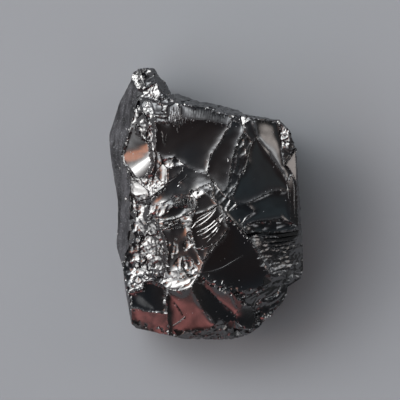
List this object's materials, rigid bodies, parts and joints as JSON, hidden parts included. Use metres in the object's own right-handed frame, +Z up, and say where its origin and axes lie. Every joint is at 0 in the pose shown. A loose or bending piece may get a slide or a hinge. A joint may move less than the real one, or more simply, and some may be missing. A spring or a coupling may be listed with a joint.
{
  "type": "elite shungite chunk",
  "caption": "Palm-sized chunk of raw lustrous black shungite with curved glassy fracture faces, hackly ridges, stepped ledges and dull natural joint sides, lying on its flat back.",
  "frame": {"origin": "centre of the bounding box in plan, on the flat underside the chunk lies on", "axes": "+Z up, away from the flat joint face of the back; +Y along the length, towards the pointed tip; +X to the right when the glossy face is seen from above with the tip at the top"},
  "size_m": [0.0394, 0.0552, 0.0201],
  "materials": {
    "shungite": "glassy near-black fracture faces with a metallic lustre; dull pitted dark grey joint faces on the sides and back"
  },
  "bodies": {
    "root": {"shungite_chunk": "shungite"}
  },
  "joints": []
}
